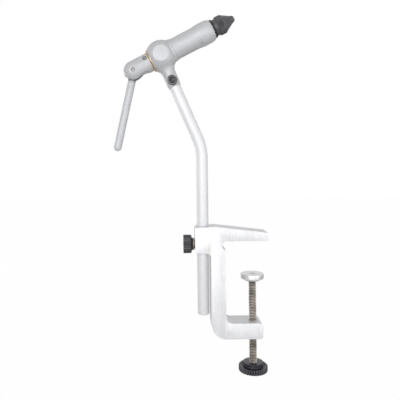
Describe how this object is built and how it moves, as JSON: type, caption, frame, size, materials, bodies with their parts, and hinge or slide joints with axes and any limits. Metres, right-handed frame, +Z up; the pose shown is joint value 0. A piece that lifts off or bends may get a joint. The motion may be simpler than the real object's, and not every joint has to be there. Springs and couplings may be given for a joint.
{
  "type": "fly tying vise",
  "caption": "Rotary fly tying vise with a C-clamp, a bent stem that slides in it, and a tilted head whose lever closes a split collet in a black knurled nose.",
  "frame": {"origin": "where the clamp screw's axis meets the underside of the clamp's upper jaw, which rests on the table", "axes": "+X from the stem towards the jaws' tips, +Y to the back, away from a viewer who faces the clamp's side, +Z up"},
  "size_m": [0.1241, 0.0236, 0.2911],
  "materials": {
    "clamp_aluminium": "sawn and brushed, with fine straight lines",
    "turned_aluminium": "turned, bright",
    "blasted_aluminium": "bead-blasted, satin",
    "black_aluminium": "black anodised, satin",
    "stem_steel": "bright drawn bar, satin",
    "rod_steel": "plain threaded rod",
    "lever_steel": "light satin",
    "inner_steel": "turned",
    "black_steel": "black oxide, satin",
    "spring_steel": "bright wire",
    "bronze": "plain bearing bronze",
    "bright_brass": "bright plated",
    "plug_nylon": "plain"
  },
  "bodies": {
    "frame": {"clamp_frame": "clamp_aluminium", "stem_insert": "bright_brass"},
    "pad": {"clamp_pad": "turned_aluminium"},
    "screw": {"clamp_screw": "rod_steel", "pad_rivet": "rod_steel", "clamp_knob": "black_aluminium", "knob_pin": "inner_steel"},
    "lock_end": {"lock_plug": "plug_nylon"},
    "lock": {"lock_stud": "inner_steel", "lock_knob": "black_aluminium"},
    "post": {"stem": "stem_steel", "hub": "blasted_aluminium", "hub_screw": "black_steel", "rear_bushing": "bronze", "front_bushing": "bronze"},
    "head": {"spindle": "inner_steel", "front_collar": "blasted_aluminium", "barrel": "blasted_aluminium", "key_screw": "inner_steel", "lever_housing": "blasted_aluminium", "housing_screw": "inner_steel", "lever_pin": "inner_steel", "return_spring": "spring_steel"},
    "lever": {"cam": "inner_steel", "lever_rod": "lever_steel"},
    "push": {"push_rod": "inner_steel", "push_fork": "inner_steel", "roller_pin": "inner_steel", "spring_seat": "inner_steel", "jaw_carrier": "inner_steel"},
    "roller": {"cam_roller": "inner_steel"},
    "jaw_upper": {"upper_jaw": "black_steel"},
    "jaw_lower": {"lower_jaw": "black_steel"},
    "nose": {"nose_cone": "black_steel"},
    "ring": {"lock_ring": "black_steel"}
  },
  "joints": [
    {"name": "pad_slide", "type": "slide", "parent": "frame", "child": "pad", "axis": [0, 0, 1], "range_m": [-0.03048, 0.02032]},
    {"name": "screw_turn", "type": "hinge", "parent": "pad", "child": "screw", "pos_m": [0, 0, -0.1001], "axis": [0, 0, 1], "range_deg": [-8641, 5761]},
    {"name": "lock_slide", "type": "slide", "parent": "frame", "child": "lock_end", "axis": [-1, 0, 0], "range_m": [0, 0.00119]},
    {"name": "lock_turn", "type": "hinge", "parent": "lock_end", "child": "lock", "pos_m": [-0.054, 0, -0.0032], "axis": [-1, 0, 0], "range_deg": [0, 540]},
    {"name": "stem_height", "type": "slide", "parent": "frame", "child": "post", "axis": [0, 0, 1], "range_m": [-0.054, 0.05]},
    {"name": "head_turn", "type": "hinge", "parent": "post", "child": "head", "pos_m": [-0.07251, 0, 0.15103], "axis": [0.891, 0, 0.454], "continuous": true},
    {"name": "lever_swing", "type": "hinge", "parent": "head", "child": "lever", "pos_m": [-0.095, 0, 0.13856], "axis": [0, 1, 0], "range_deg": [-46.05, 10.05]},
    {"name": "push_slide", "type": "slide", "parent": "head", "child": "push", "axis": [0.891, 0, 0.454], "range_m": [-0.0002, 0.00092], "deforming": ["return_spring"]},
    {"name": "roller_turn", "type": "hinge", "parent": "push", "child": "roller", "pos_m": [-0.08989, 0, 0.14218], "axis": [0, 1, 0], "continuous": true},
    {"name": "upper_jaw_swing", "type": "hinge", "parent": "push", "child": "jaw_upper", "pos_m": [-0.04322, 0, 0.16843], "axis": [0, -1, 0], "range_deg": [-0.73, 0.17]},
    {"name": "lower_jaw_swing", "type": "hinge", "parent": "push", "child": "jaw_lower", "pos_m": [-0.04122, 0, 0.16451], "axis": [0, 1, 0], "range_deg": [-0.73, 0.17]},
    {"name": "nose_turn", "type": "hinge", "parent": "head", "child": "nose", "pos_m": [-0.03099, 0, 0.17219], "axis": [0.891, 0, 0.454], "range_deg": [-90, 90]},
    {"name": "ring_turn", "type": "hinge", "parent": "head", "child": "ring", "pos_m": [-0.03001, 0, 0.17269], "axis": [0.891, 0, 0.454], "range_deg": [-180, 180]}
  ],
  "couplings": [
    {"joint": "screw_turn", "follows": "pad_slide", "rad_per_m": 4947.4},
    {"joint": "lock_turn", "follows": "lock_slide", "rad_per_m": 7913.3},
    {"joint": "lever_swing", "follows": "push_slide", "rad_per_m": -869.57},
    {"joint": "upper_jaw_swing", "follows": "push_slide", "rad_per_m": -13.611},
    {"joint": "lower_jaw_swing", "follows": "push_slide", "rad_per_m": -13.611}
  ]
}
